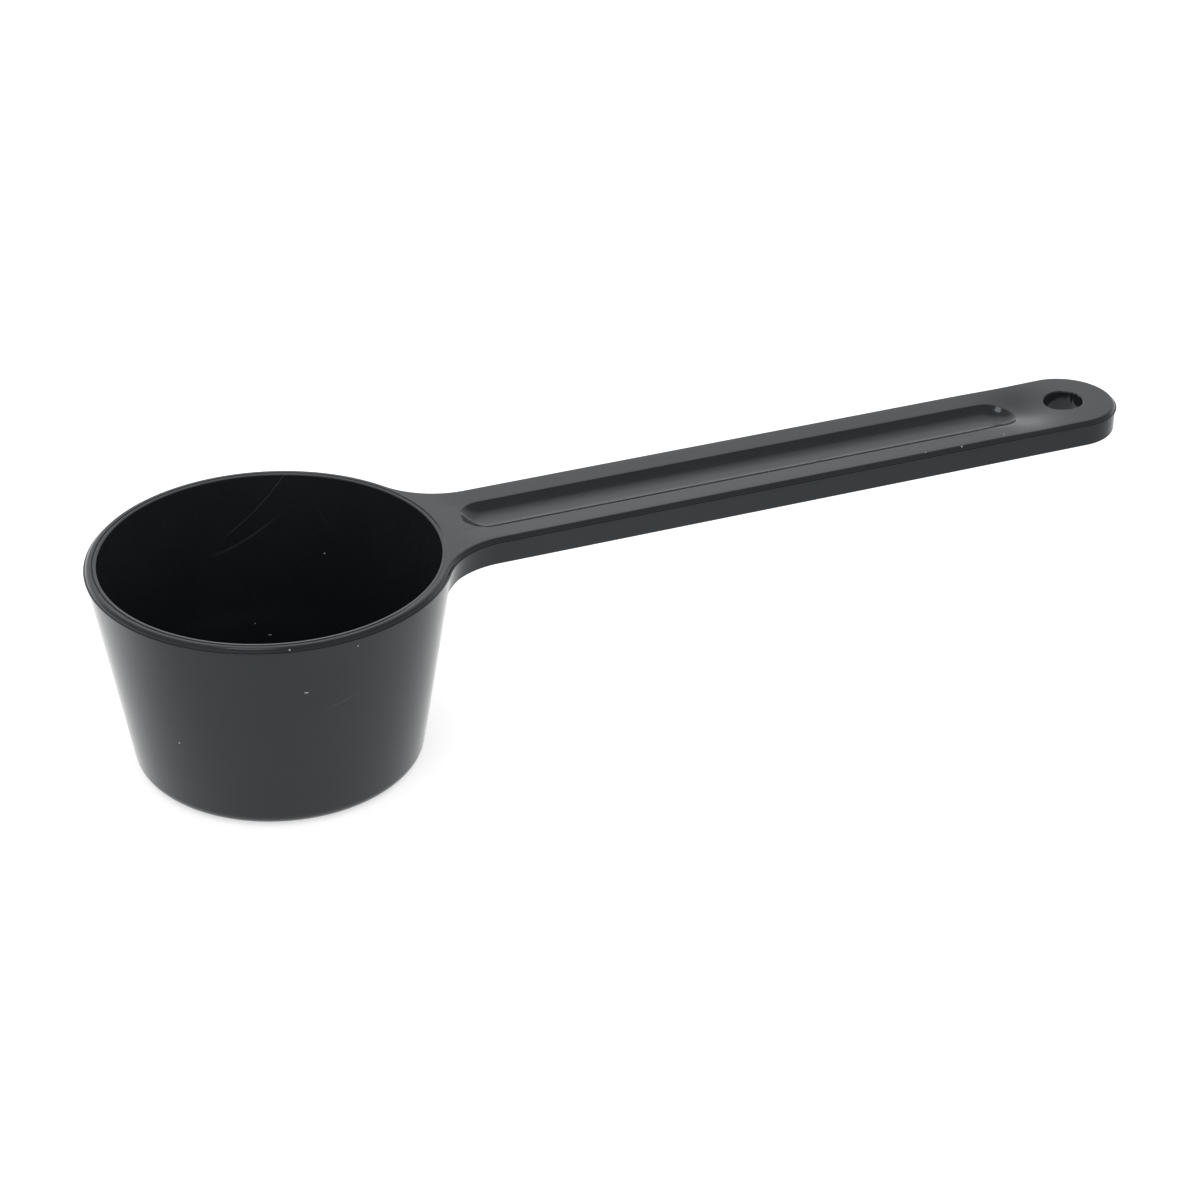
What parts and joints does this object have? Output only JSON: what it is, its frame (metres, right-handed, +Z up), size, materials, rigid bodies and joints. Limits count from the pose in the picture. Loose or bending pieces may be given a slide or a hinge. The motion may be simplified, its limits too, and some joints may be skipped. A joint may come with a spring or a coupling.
{
  "type": "measuring scoop",
  "caption": "Long-handled measuring scoop: a tapered round cup with a level flat handle, thumb groove and hang hole.",
  "frame": {"origin": "middle of the flat underside of the cup, where the scoop stands", "axes": "+Z up out of the cup, +X along the handle to its hang hole, +Y across the handle"},
  "size_m": [0.1405, 0.045, 0.0277],
  "materials": {
    "black_plastic": "satin-gloss injection-moulded polypropylene"
  },
  "bodies": {
    "root": {"cup_floor": "black_plastic", "cup_wall": "black_plastic", "rim_band": "black_plastic", "handle_neck": "black_plastic", "handle_bar": "black_plastic", "hang_tab": "black_plastic"}
  },
  "joints": []
}
